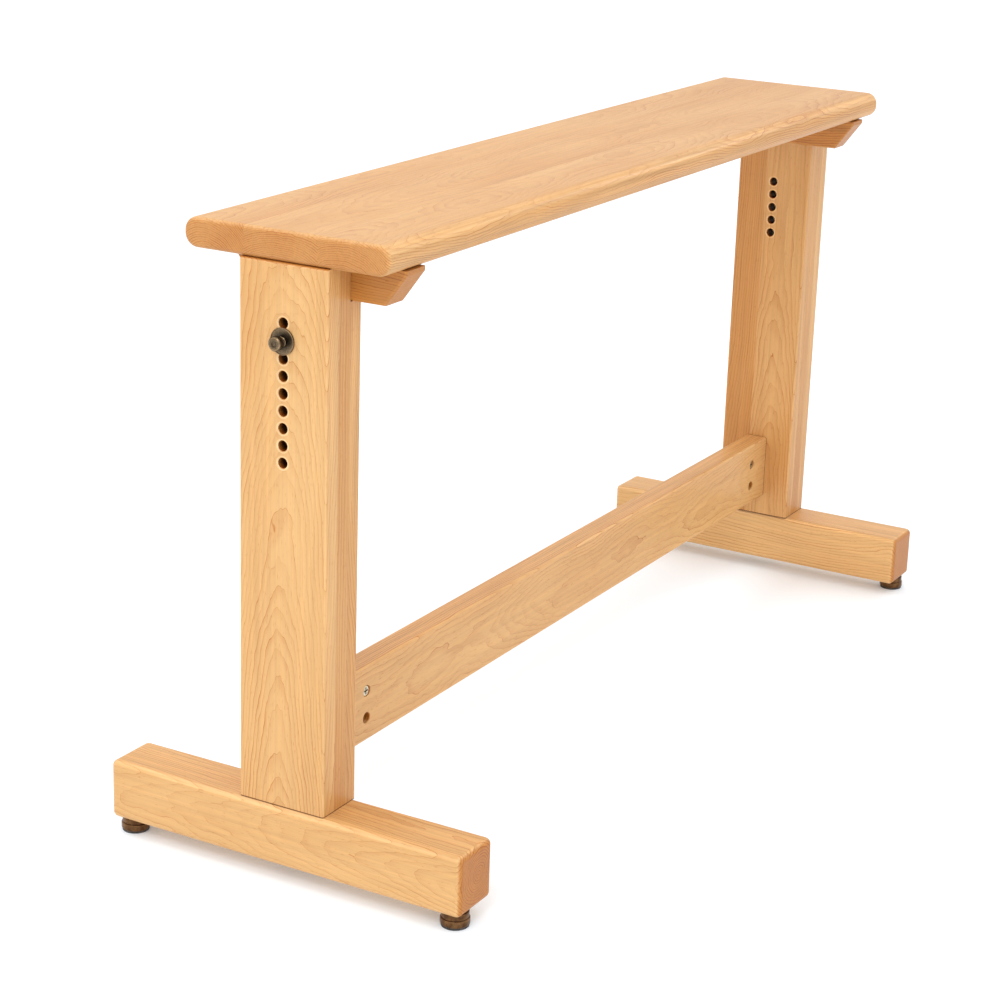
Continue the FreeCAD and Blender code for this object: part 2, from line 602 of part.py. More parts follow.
def make_cams(label, level, recess):
    """Cam discs at both ends of the stretcher, turned by a cross recess in their front face."""
    cams = []
    for side, sign in ((LEFT, "-1"), (RIGHT, "1")):
        body = new_body(f"{side}_{label}")
        length = f"(Dims.stretcher_thickness / 2 - {recess} + Dims.cam_end)"
        section = new_sketch(body, "XZ_Plane", "disc")
        circle(section, "0", "0", "Dims.cam_diameter - 2 * Dims.cam_clearance")
        pad(body, section, length, reverse=True)
        bevel_edges(body, "Dims.hole_ease",
                    lambda edge: isinstance(edge.Curve, Part.Circle) and at(edge, 1, 0))
        arm, half = "Dims.cam_slot_arm", "Dims.cam_slot_half"
        for name, wide, tall in (("slot_a", arm, half), ("slot_b", half, arm)):
            slot = new_sketch(body, "XZ_Plane", name)
            rectangle(slot, f"-{wide}", wide, f"-{tall}", tall)
            pocket(body, slot, "Dims.cam_slot_depth")
        cross = new_sketch(body, "YZ_Plane", "stud_bore")
        circle(cross, f"Dims.stretcher_thickness / 2 - {recess}", "0",
               "Dims.stud_diameter + 2 * Dims.fit")
        pocket(body, cross, "Dims.cam_diameter", reverse=sign == "1")
        body.setExpression("Placement.Base.x",
                           f"{sign} * (Dims.span / 2 - {POST_DEPTH} - {cam_distance(side)})")
        body.setExpression("Placement.Base.y", f"{recess} - Dims.stretcher_thickness / 2")
        body.setExpression("Placement.Base.z", f"Dims.stretcher_bottom + {level}")
        cams.append(body)
    return group(label, cams)


def make_studs():
    """The studs that tie the stretcher to the posts, from the post's core into each cam."""
    studs = []
    for side in (LEFT, RIGHT):
        for name, level in (("upper", "Dims.cam_upper"), ("lower", "Dims.cam_lower")):
            body = new_body(f"{side}_{name}_stud")
            sketch = new_sketch(body, "YZ_Plane", "section")
            circle(sketch, "0", "0", "Dims.stud_diameter")
            pad(body, sketch, f"Dims.stud_in_post + {cam_distance(side)}")
            place(body, side, f"{POST_DEPTH} - Dims.stud_in_post",
                  height=f"Dims.stretcher_bottom + {level}")
            studs.append(body)
    return group("stretcher_studs", studs)


# ---------------------------------------------------------------- locking bolts

def make_washer(side):
    """The wide washer that lies on the post's outer face."""
    body = new_body(f"{side}_washer")
    sketch = new_sketch(body, "YZ_Plane", "ring")
    circle(sketch, "0", "0", "Dims.washer_diameter")
    circle(sketch, "0", "0", "Dims.washer_bore")
    pad(body, sketch, "Dims.washer_thickness", reverse=True)
    face, rim = number("-Dims.washer_thickness"), number("Dims.washer_diameter")
    round_edges(body, "Dims.washer_thickness / 3", lambda edge: is_mouth(edge, 0, face, rim))
    place(body, side, height=BOLT_HEIGHT)
    return body


def make_locking_bolt(side):
    """The round-headed bolt, backed out until its tip is clear of the tongue."""
    body = new_body(f"{side}_locking_bolt")
    head_end = "-(Dims.washer_thickness + Dims.bolt_standoff)"
    neck = f"({head_end} + Dims.head_length)"
    head, shank, ease = "Dims.bolt_head / 2", "Dims.bolt_diameter / 2", "Dims.head_ease"
    sketch = new_sketch(body, "XZ_Plane", "profile")
    polygon(sketch, [
        (head_end, "0"), (head_end, f"{head} - {ease}"), (f"{head_end} + {ease}", head),
        (f"{neck} - {ease} / 2", head), (neck, f"{head} - {ease} / 2"), (neck, shank),
        (f"Dims.bolt_tip - {ease}", shank), ("Dims.bolt_tip", f"{shank} - {ease}"),
        ("Dims.bolt_tip", "0")])
    revolve(body, sketch, "H_Axis")
    place(body, side, height=BOLT_HEIGHT)
    return body


# ---------------------------------------------------------------- levellers

def make_sleeve(label):
    """The flanged threaded sleeve in the foot's underside."""
    body = new_body(label)
    bore, outer, flange = "Dims.stem_diameter / 2 + Dims.fit", "Dims.sleeve_diameter / 2", \
        "Dims.sleeve_flange / 2"
    sketch = new_sketch(body, "XZ_Plane", "profile")
    polygon(sketch, [
        (bore, "0"), (flange, "0"), (flange, "Dims.flange_height"), (outer, "Dims.flange_height"),
        (outer, "Dims.sleeve_length"), (bore, "Dims.sleeve_length")])
    revolve(body, sketch, "V_Axis")
    return body


def make_leveller(label):
    """The adjustable glide: a tapered disc with a collar and a stem."""
    body = new_body(label)
    disc, collar, stem = "Dims.glide_diameter / 2", "Dims.collar_diameter / 2", "Dims.stem_diameter / 2"
    shoulder, chamfer, taper = "(Dims.glide_height + Dims.collar_height)", "Dims.glide_chamfer", \
        "Dims.glide_taper"
    sketch = new_sketch(body, "XZ_Plane", "profile")
    polygon(sketch, [
        ("0", "Dims.pad_height"), (f"{disc} - {chamfer}", "Dims.pad_height"),
        (disc, f"Dims.pad_height + {chamfer}"), (f"{disc} - {taper}", f"Dims.glide_height - {chamfer}"),
        (f"{disc} - {taper} - {chamfer}", "Dims.glide_height"), (collar, "Dims.glide_height"),
        (collar, f"{shoulder} - Dims.collar_chamfer"), (f"{collar} - Dims.collar_chamfer", shoulder),
        (stem, shoulder), (stem, f"Dims.stem_top - {chamfer}"), (f"{stem} - {chamfer}", "Dims.stem_top"),
        ("0", "Dims.stem_top")])
    revolve(body, sketch, "V_Axis")
    return body


def make_pad(label):
    """The thin floor pad under a glide."""
    body = new_body(label)
    radius, chamfer = "Dims.pad_diameter / 2", "Dims.pad_chamfer"
    sketch = new_sketch(body, "XZ_Plane", "profile")
    polygon(sketch, [("0", "0"), (f"{radius} - {chamfer}", "0"), (radius, chamfer),
                     (radius, "Dims.pad_height"), ("0", "Dims.pad_height")])
    revolve(body, sketch, "V_Axis")
    return body


def make_levellers(side):
    """The two levellers of a foot with their pads, and the sleeves they turn in."""
    parts, sleeves = [], []
    for name, across in (("front", "-1"), ("back", "1")):
        # The right end is turned about Z, so that its local front is the bench's back.
        turned = across if side == LEFT else ("1" if across == "-1" else "-1")
        spot = (GLIDE_MIDDLE, f"{turned} * {GLIDE_OUT}")
        leveller = make_leveller(f"{side}_{name}_leveller")
        place(leveller, side, *spot)
        pad_piece = make_pad(f"{side}_{name}_pad")
        place(pad_piece, side, *spot)
        sleeve = make_sleeve(f"{side}_{name}_sleeve")
        place(sleeve, side, *spot, "Dims.foot_lift")
        parts += [leveller, pad_piece]
        sleeves.append(sleeve)
    return parts, sleeves


# ---------------------------------------------------------------- assembly

def build():
    pieces = [make_seat(), make_stretcher(), make_studs(),
              make_cams("upper_cams", "Dims.cam_upper", "Dims.upper_cam_recess"),
              make_cams("lower_cams", "Dims.cam_lower", "Dims.lower_cam_recess")]
    sleeves = []
    for side in (LEFT, RIGHT):
        pieces += [make_cleat(side), make_tongue(side), make_tongue_inserts(side),
                   make_cleat_screws(side), make_tongue_screws(side),
                   make_outer_board(side), make_inner_board(side),
                   make_side_strip(side, "front", "-1" if side == LEFT else "1"),
                   make_side_strip(side, "back", "1" if side == LEFT else "-1"),
                   make_filler_block(side), make_foot(side), make_post_bolts(side), make_dowels(side),
                   make_washer(side), make_locking_bolt(side)]
        levellers, side_sleeves = make_levellers(side)
        pieces += levellers
        sleeves += side_sleeves
    pieces.append(group("leveller_sleeves", sleeves))
    return pieces


def check(pieces):
    """Stops if any object failed, or any sub-part is empty or not valid."""
    doc.recompute()
    for item in doc.Objects:
        if "Invalid" in item.State or "Error" in item.State:
            raise RuntimeError(f"{item.Label}: {item.State}")
    for item in pieces:
        if item.Shape.isNull() or not item.Shape.isValid():
            raise RuntimeError(f"{item.Label} has no valid shape")


def main():
    pieces = build()
    check(pieces)
    os.makedirs("parts", exist_ok=True)
    for item in pieces:
        item.Shape.exportStep(f"parts/{item.Label}.step")
        box = item.Shape.BoundBox
        print(f"{item.Label:24s} solids {len(item.Shape.Solids):2d} volume {item.Shape.Volume:12.1f} "
              f"x {box.XMin:8.2f} {box.XMax:8.2f} y {box.YMin:8.2f} {box.YMax:8.2f} "
              f"z {box.ZMin:7.2f} {box.ZMax:7.2f}")


main()
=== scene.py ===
"""Looks of the height-adjustable weaver's bench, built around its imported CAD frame.

Every board of the frame gets its own solid wood: growth rings about a pith line that is laid out for
that board, so the rings meet at the edges and run through the end grain. The locking bolts, washers,
glides and pads are turned again here, with their threads. Metres, in the row frame: +X along the seat,
+Z up.
"""
import json
import math
from collections import namedtuple

import bmesh
import bpy
from mathutils import Matrix, Vector


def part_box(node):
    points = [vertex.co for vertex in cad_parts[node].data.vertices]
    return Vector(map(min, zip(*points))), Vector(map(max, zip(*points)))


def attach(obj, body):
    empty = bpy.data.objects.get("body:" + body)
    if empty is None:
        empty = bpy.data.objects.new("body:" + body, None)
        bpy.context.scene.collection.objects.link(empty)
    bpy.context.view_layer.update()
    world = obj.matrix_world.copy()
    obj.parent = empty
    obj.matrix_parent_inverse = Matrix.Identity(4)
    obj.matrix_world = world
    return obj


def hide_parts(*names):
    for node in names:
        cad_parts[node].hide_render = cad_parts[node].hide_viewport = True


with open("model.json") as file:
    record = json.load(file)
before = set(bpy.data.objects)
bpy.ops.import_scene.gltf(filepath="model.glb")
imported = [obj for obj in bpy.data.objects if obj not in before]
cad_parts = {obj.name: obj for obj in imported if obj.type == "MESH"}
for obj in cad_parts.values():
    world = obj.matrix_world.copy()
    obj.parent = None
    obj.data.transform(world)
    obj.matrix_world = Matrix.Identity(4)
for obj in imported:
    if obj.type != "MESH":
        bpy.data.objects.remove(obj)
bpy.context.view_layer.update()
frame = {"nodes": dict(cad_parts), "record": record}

MM = 0.001
SIDES = {"left": -1, "right": 1}
AXES = "xyz"
AROUND = 72
EASE_STEPS = 4


# ---------------------------------------------------------------------------------------------- colours

def srgb(red, green, blue):
    """A linear colour from values of 0 to 255, all of them over 10, where the curve is a power."""
    return (*(((c / 255 + 0.055) / 1.055) ** 2.4 for c in (red, green, blue)), 1.0)


# The wood's own colours, and the stains that multiply them where it is darker or, over 1, paler. Some of
# them are painted light or shade, as noted on each.
MAPLE_LIGHT = srgb(216, 170, 112)
MAPLE_DEEP = srgb(190, 128, 60)
RING_STAIN = (0.66, 0.38, 0.14, 1.0)
FLECK_STAIN = (0.70, 0.48, 0.28, 1.0)
END_GRAIN_STAIN = (0.70, 0.46, 0.18, 1.0)
# Bore walls: the drill's burn at the mouth, then painted shade, near black, deeper in.
BORE_MOUTH = (0.62, 0.42, 0.18, 1.0)
BORE_PAINTED_SHADE = (0.10, 0.05, 0.02, 1.0)
# Painted shadow line at butt joints, and the real dark glue line along glued faces.
JOINT_SHADOW_AND_GLUE = (0.22, 0.12, 0.06, 1.0)
# Painted highlight on rounded edges.
EDGE_HIGHLIGHT = (1.16, 1.26, 1.44, 1.0)
# Painted highlight on the chamfered rims and round the mouths of the holes.
HOLE_RIM_HIGHLIGHT = (1.22, 1.40, 1.75, 1.0)


# ------------------------------------------------------------------------------------------ node recipes

class Recipe:
    """The nodes of one material. Each call adds a node and gives back its output."""

    def __init__(self, name):
        self.material = bpy.data.materials.new(name)
        self.material.use_nodes = True
        self.tree = self.material.node_tree
        self.shader = next(n for n in self.tree.nodes if n.type == "BSDF_PRINCIPLED")
        coordinates = self.tree.nodes.new("ShaderNodeTexCoord")
        self.place = coordinates.outputs["Object"]
        self.normal = coordinates.outputs["Normal"]

    def feed(self, socket, value):
        if isinstance(value, bpy.types.NodeSocket):
            self.tree.links.new(value, socket)
        else:
            socket.default_value = value

    def node(self, kind, inputs, output=0, **settings):
        made = self.tree.nodes.new("ShaderNode" + kind)
        for name, value in settings.items():
            setattr(made, name, value)
        for key, value in inputs.items():
            self.feed(made.inputs[key], value)
        return made.outputs[output]

    def math(self, operation, *values, clamp=False):
        return self.node("Math", dict(enumerate(values)), operation=operation, use_clamp=clamp)

    def plus(self, a, b, clamp=False):
        return self.math("ADD", a, b, clamp=clamp)

    def minus(self, a, b):
        return self.math("SUBTRACT", a, b)

    def times(self, a, b, clamp=False):
        return self.math("MULTIPLY", a, b, clamp=clamp)

    def linear(self, value, slope, start, clamp=False):
        """The value times the slope, plus the start."""
        return self.math("MULTIPLY_ADD", value, slope, start, clamp=clamp)

    def larger(self, a, b):
        return self.math("MAXIMUM", a, b)

    def size(self, value):
        """The value without its sign."""
        return self.math("ABSOLUTE", value)

    def vector(self, operation, *values, output=0):
        return self.node("VectorMath", dict(enumerate(values)), output, operation=operation)

    def split(self, vector):
        made = self.tree.nodes.new("ShaderNodeSeparateXYZ")
        self.feed(made.inputs[0], vector)
        return list(made.outputs)

    def join(self, x, y, z):
        return self.node("CombineXYZ", {0: x, 1: y, 2: z})

    def smooth(self, value, low, high):
        """0 below low, 1 above high, and a smooth step between. With the larger number as low, it is 1
        below high and 0 above low."""
        settings = {"Value": value, "From Min": low, "From Max": high}
        return self.node("MapRange", settings, interpolation_type="SMOOTHSTEP")

    def noise(self, place, stretch, seed, detail=2.0, roughness=0.5):
        """Noise from 0 to 1. stretch is its cycles per metre along each of the three axes, and the seed
        moves it, by another amount along each axis."""
        moved = Vector((seed, 1.7 * seed, 2.3 * seed))
        scaled = self.vector("MULTIPLY_ADD", place, Vector(stretch), moved)
        inputs = {"Vector": scaled, "Scale": 1.0, "Detail": detail, "Roughness": roughness}
        return self.node("TexNoise", inputs)

    def even_noise(self, frequency, seed, detail=2.0, roughness=0.5):
        """Noise of the same cycles per metre along every axis."""
        return self.noise(self.place, (frequency,) * 3, seed, detail, roughness)

    def swing(self, noise, amount):
        """Noise from 0 to 1 turned into plus or minus half the amount."""
        return self.linear(noise, amount, -amount / 2)

    def mix(self, factor, a, b, blend="MIX"):
        return self.node("Mix", {0: factor, 6: a, 7: b}, 2, data_type="RGBA", blend_type=blend)

    def stain(self, amount, colour, stain):
        """The colour multiplied by a stain, in proportion to the amount."""
        return self.mix(amount, colour, stain, blend="MULTIPLY")

    def scaled(self, vector, gain):
        """The vector or colour times a gain that varies over the surface."""
        return self.vector("MULTIPLY", vector, self.join(gain, gain, gain))

    def bump(self, height, depth, strength):
        """Relief: the height from 0 to 1 stands depth metres proud."""
        inputs = {"Height": height, "Distance": depth, "Strength": strength}
        self.feed(self.shader.inputs["Normal"], self.node("Bump", inputs))

    def set(self, **values):
        """Values of the shader's own sockets; two words are joined by an underscore."""
        for name, value in values.items():
            self.feed(self.shader.inputs[name.replace("_", " ")], value)


# ------------------------------------------------------------------------------------------------- wood

# One stave of a board. upto: where it ends across the board's face, from the middle. across and depth:
# the pith line, from the board's middle. tilt: how fast the pith leaves the face along the grain.
# tone: how dark the stave is, 0 to 1. shift: moves the noise, so that no two staves have the same figure.
Stave = namedtuple("Stave", "upto across depth tilt tone shift")
END = 1.0

# The noises in the wood: cycles per metre along the grain, cycles per metre across it, seed and detail.
WOOD_NOISES = {
    "sway": (4.5, 6, 3.1, 1.0),
    "wave": (11, 34, 7.7, 1.5),
    "notch": (46, 130, 1.3, 1.0),
    "patch": (3, 16, 12.6, 1.0),
    "fade": (14, 70, 9.4, 1.0),
    "cloud": (3.5, 17, 5.9, 2.0),
    "flecks": (150, 1300, 4.2, 0.0),
    "fibres": (14, 760, 6.6, 2.0),
    "streaks": (5, 210, 8.8, 2.0),
    "curl": (46, 9, 2.4, 1.0),
    "pores": (300, 1500, 5.1, 1.0),
    # This one breaks up the painted highlight on rounded edges.
    "highlight_breaks": (5, 420, 7.1, 2.0),
}

# Growth rings: their spacing, how far the pith line wanders, and how far a ring leaves its circle in
# broad waves and in small notches.
RING = 2.6 * MM
PITH_SWAY = 30 * MM
RING_WAVE = 5.0 * MM
RING_NOTCH = 1.9 * MM

# The line at the end of each year: its width, the share of it at full strength, and the least that the
# rings' steepness counts for. Then the late wood before it: where in the year it begins, and its depth.
LINE = 0.75 * MM
LINE_CORE = 0.25
FLATTEST = 0.08
LATE_START = 0.35
LATE_DEPTH = 0.30

# How strong the lines are: in the weakest year, more on a sawn edge, more or less on the end grain by its
# stain, and in patches and fading stretches, each from its least value by its span.
WEAKEST_YEAR = 0.38
EDGE_LINES = 0.45
END_LINES, END_LINES_LOST = 1.4, 0.8
PATCH_LEAST, PATCH_SPAN = 0.65, 0.5
FADE_LEAST, FADE_SPAN = 0.5, 0.5

# Colour: the swing of the tone, of the fibres' brightness and of the pores, the depth of the flecks, and
# the streaks on the face and how much more they show on a sawn edge.
CLOUD_SWING = 0.9
FIBRE_SWING = 0.24
PORE_SWING = 0.5
FLECK_DEPTH = 0.5
STREAKS, EDGE_STREAKS = 0.24, 0.35

# Surface: roughness of the wood, how much the fibres add and the rings take off, and the relief.
WOOD_ROUGHNESS, FIBRE_ROUGHNESS, RING_POLISH = 0.42, 0.14, 0.06
RING_SUNK = 0.25
RELIEF = 0.05 * MM

# Width and depth of the shadow line at a butt joint and along a glued face; the share of it that is full.
BUTT_LINE = (1.3 * MM, 1.0)
GLUE_LINE = (0.5 * MM, 0.30)
JOINT_CORE = 0.3

# Drilled holes: their pitch and radius, where the painted highlight ring round a mouth fades in and is
# full, and where the drill's burn, which deepens into painted shade, begins and is darkest, from the
# face.
HOLE_PITCH = 16 * MM
HOLE_RADIUS = 5 * MM
HIGHLIGHT_RING_OUTER, HIGHLIGHT_RING_INNER = HOLE_RADIUS + 2.3 * MM, HOLE_RADIUS + 1.2 * MM
BURN_SHADE_FROM, BURN_SHADE_FULL = 1.5 * MM, 9 * MM


class Board:
    """The wood of one CAD node. grain and face are the axes that the fibres run along and that the widest
    face looks along."""

    def __init__(self, node, grain, face, staves, ring=RING, bores=None, figure=0.03, eased=True,
                 butts=(), glued=(), end_stain=1.0):
        self.node = node
        self.end_stain = end_stain
        self.butts = butts
        self.glued = glued
        self.staves = staves
        self.ring = ring
        self.bores = bores
        self.figure = figure
        self.eased = eased
        along, through = AXES.index(grain), AXES.index(face)
        self.order = [along, 3 - along - through, through]
        low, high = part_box(node)
        self.middle = (low + high) / 2
        self.half = [(high - low)[i] / 2 for i in self.order]

    def material(self):
        recipe = Recipe(f"wood_{self.node}")
        spot = recipe.split(recipe.vector("SUBTRACT", recipe.place, self.middle))
        along, across, through = (spot[i] for i in self.order)
        facing = recipe.split(recipe.normal)
        facing = [facing[i] for i in self.order]
        chosen = self.choose_stave(recipe, across)
        grain_place = recipe.join(recipe.plus(along, chosen["shift"]), across, through)
        rings = self.rings(recipe, grain_place, along, across, through, facing, chosen)
        colour, fibres = self.colours(recipe, grain_place, rings, facing, chosen)
        if self.bores:
            colour = self.darken_bores(recipe, colour, across, along, through, facing)
        colour = self.darken_joints(recipe, colour, along, through)
        recipe.set(Base_Color=colour, Specular_IOR_Level=0.30, Coat_Weight=0.14, Coat_Roughness=0.16)
        rough = recipe.linear(fibres, FIBRE_ROUGHNESS, WOOD_ROUGHNESS)
        recipe.set(Roughness=recipe.linear(rings, -RING_POLISH, rough))
        recipe.bump(recipe.minus(fibres, recipe.times(rings, RING_SUNK)), RELIEF, 0.5)
        return recipe.material

    def noise(self, recipe, place, name):
        """One of the wood's noises, drawn out along the grain."""
        along, across, seed, detail = WOOD_NOISES[name]
        return recipe.noise(place, (along, across, across), seed, detail)

    def choose_stave(self, recipe, across):
        """Each of the staves' numbers as it holds at this place across the board."""
        past = [recipe.math("GREATER_THAN", across, s.upto) for s in self.staves[:-1]]
        chosen = {}
        for name in ("across", "depth", "tilt", "tone", "shift"):
            value = getattr(self.staves[0], name)
            for step, before, after in zip(past, self.staves, self.staves[1:]):
                value = recipe.linear(step, getattr(after, name) - getattr(before, name), value)
            chosen[name] = value
        return chosen

    def rings(self, recipe, place, along, across, through, facing, chosen):
        """Growth lines, 0 to 1: sharp on the side of the new year, soft on the old, and as wide on the
        surface wherever the rings meet it flat or steeply."""
        sway = recipe.swing(self.noise(recipe, place, "sway"), PITH_SWAY)
        lean = recipe.linear(along, chosen["tilt"], sway)
        off_across = recipe.minus(across, chosen["across"])
        off_depth = recipe.plus(recipe.minus(through, chosen["depth"]), lean)
        radius = recipe.vector("LENGTH", recipe.join(0.0, off_across, off_depth), output=1)
        wave = recipe.swing(self.noise(recipe, place, "wave"), RING_WAVE)
        notch = recipe.swing(self.noise(recipe, place, "notch"), RING_NOTCH)
        radius = recipe.plus(radius, recipe.plus(wave, notch))

        turns = recipe.math("DIVIDE", radius, self.ring)
        year = recipe.math("FLOOR", turns)
        age = recipe.minus(turns, year)
        steepness = self.steepness(recipe, off_across, off_depth, facing, chosen)
        left = recipe.math("DIVIDE", recipe.linear(age, -self.ring, self.ring), steepness)
        line = recipe.smooth(left, LINE, LINE_CORE * LINE)
        late = recipe.times(recipe.smooth(age, LATE_START, 1.0), LATE_DEPTH)
        lines = recipe.larger(line, late)

        strength = recipe.node("TexWhiteNoise", {"W": year}, noise_dimensions="1D")
        strength = recipe.linear(strength, 1 - WEAKEST_YEAR, WEAKEST_YEAR)
        patch = recipe.smooth(self.noise(recipe, place, "patch"), 0.32, 0.60)
        strength = recipe.times(strength, recipe.linear(patch, PATCH_SPAN, PATCH_LEAST))
        end_lines = END_LINES * self.end_stain - END_LINES_LOST
        turned_away = recipe.linear(recipe.size(facing[1]), EDGE_LINES, 1.0)
        turned_away = recipe.linear(recipe.size(facing[0]), end_lines, turned_away)
        strength = recipe.times(strength, turned_away)
        fade = recipe.smooth(self.noise(recipe, place, "fade"), 0.22, 0.60)
        fade = recipe.linear(fade, FADE_SPAN, FADE_LEAST)
        return recipe.times(recipe.times(lines, strength), fade, clamp=True)

    def steepness(self, recipe, off_across, off_depth, facing, chosen):
        """How fast the radius changes along the surface, FLATTEST to 1."""
        slope = recipe.join(recipe.times(off_depth, chosen["tilt"]), off_across, off_depth)
        outward = recipe.join(*facing)
        rise = recipe.vector("DOT_PRODUCT", slope, outward, output=1)
        in_face = recipe.vector("SUBTRACT", slope, recipe.scaled(outward, rise))
        length = recipe.vector("LENGTH", slope, output=1)
        share = recipe.math("DIVIDE", recipe.vector("LENGTH", in_face, output=1), length)
        return recipe.larger(share, FLATTEST)

    def colours(self, recipe, place, rings, facing, chosen):
        """The board's colour, and its fine fibres for the roughness and relief."""
        cloud = recipe.swing(self.noise(recipe, place, "cloud"), CLOUD_SWING)
        tone = recipe.plus(cloud, chosen["tone"], clamp=True)
        colour = recipe.mix(tone, MAPLE_LIGHT, MAPLE_DEEP)
        colour = recipe.stain(rings, colour, RING_STAIN)
        flecks = recipe.smooth(self.noise(recipe, place, "flecks"), 0.70, 0.80)
        colour = recipe.stain(recipe.times(flecks, FLECK_DEPTH), colour, FLECK_STAIN)

        fibres = self.noise(recipe, place, "fibres")
        streaks = recipe.minus(self.noise(recipe, place, "streaks"), 0.5)
        streaks = recipe.times(streaks, recipe.linear(recipe.size(facing[1]), EDGE_STREAKS, STREAKS))
        gain = recipe.plus(recipe.swing(fibres, FIBRE_SWING), streaks)
        curl = recipe.swing(self.noise(recipe, place, "curl"), self.figure)
        colour = recipe.scaled(colour, recipe.plus(recipe.plus(gain, curl), 1.0))

        end = recipe.smooth(recipe.size(facing[0]), 0.30, 0.90)
        end = recipe.times(end, self.end_stain)
        pores = recipe.swing(self.noise(recipe, place, "pores"), PORE_SWING)
        colour = recipe.stain(recipe.linear(pores, end, end, clamp=True), colour, END_GRAIN_STAIN)
        # Painted highlight on the board's rounded edges.
        if self.eased:
            colour = self.paint_edge_highlights(recipe, colour, place, facing)
        return colour, fibres

    def paint_edge_highlights(self, recipe, colour, place, facing):
        """Painted highlight: a paler, broken streak on rounded edges that face up or sideways, apart from
        the undersides.
        """
        along, across, through = (recipe.size(f) for f in facing)
        squarest = recipe.larger(recipe.larger(across, through), along)
        edge = recipe.smooth(squarest, 0.985, 0.88)
        highlight_breaks = recipe.smooth(self.noise(recipe, place, "highlight_breaks"), 0.25, 0.65)
        lit_from_above = recipe.smooth(recipe.split(recipe.normal)[2], -0.45, 0.25)
        return recipe.stain(recipe.times(edge, recipe.times(highlight_breaks, lit_from_above)), colour, EDGE_HIGHLIGHT)

    def darken_joints(self, recipe, colour, along, through):
        """The shadow line where an end butts on its neighbour, and the fainter one along a glued face.
        butts and glued say which: -1 for the low end or face, 1 for the high one."""
        for place, sides, half, (width, depth) in (
            (along, self.butts, self.half[0], BUTT_LINE),
            (through, self.glued, self.half[2], GLUE_LINE),
        ):
            for side in sides:
                distance = recipe.linear(place, -side, half)
                line = recipe.smooth(distance, width, JOINT_CORE * width)
                colour = recipe.stain(recipe.times(line, depth), colour, JOINT_SHADOW_AND_GLUE)
        return colour

    def darken_bores(self, recipe, colour, across, along, through, facing):
        """A row of drilled holes: their walls burnt a little by the drill and darkened further in as
        painted shade, with a painted highlight on their rims and round their mouths.
        bores is the heights of the lowest and the highest hole."""
        low, high = (height - self.middle.z for height in self.bores)
        inside = recipe.math("LESS_THAN", recipe.size(across), HOLE_PITCH / 2)
        for limit, operation in (
            (low - HOLE_PITCH / 2, "GREATER_THAN"),
            (high + HOLE_PITCH / 2, "LESS_THAN"),
        ):
            inside = recipe.times(inside, recipe.math(operation, along, limit))
        outward = recipe.size(facing[2])
        # Painted highlight: the chamfered rim, and a ring round each mouth, are made paler.
        rim = recipe.times(recipe.smooth(outward, 0.50, 0.62), recipe.smooth(outward, 0.95, 0.82))
        step = recipe.math("DIVIDE", recipe.minus(along, low), HOLE_PITCH)
        off = recipe.times(recipe.minus(step, recipe.math("ROUND", step)), HOLE_PITCH)
        distance = recipe.vector("LENGTH", recipe.join(off, across, 0.0), output=1)
        mouth_highlight = recipe.smooth(distance, HIGHLIGHT_RING_OUTER, HIGHLIGHT_RING_INNER)
        rim = recipe.larger(rim, recipe.times(mouth_highlight, recipe.smooth(outward, 0.6, 0.95)))
        colour = recipe.stain(recipe.times(inside, rim), colour, HOLE_RIM_HIGHLIGHT)
        # Painted shade: the walls go from the drill's burn at the mouth to near black deeper in the bore.
        depth = recipe.linear(through, self.glued[0], self.half[2])
        burn_and_shade = recipe.mix(recipe.smooth(depth, BURN_SHADE_FROM, BURN_SHADE_FULL), BORE_MOUTH, BORE_PAINTED_SHADE)
        wall = recipe.smooth(outward, 0.60, 0.35)
        return recipe.stain(recipe.times(inside, wall), colour, burn_and_shade)


# Where each board's row of holes begins and ends, in holes above the locking bolt.
OUTER_ROW = (-7, 1)
INNER_ROW = (-5, -1)


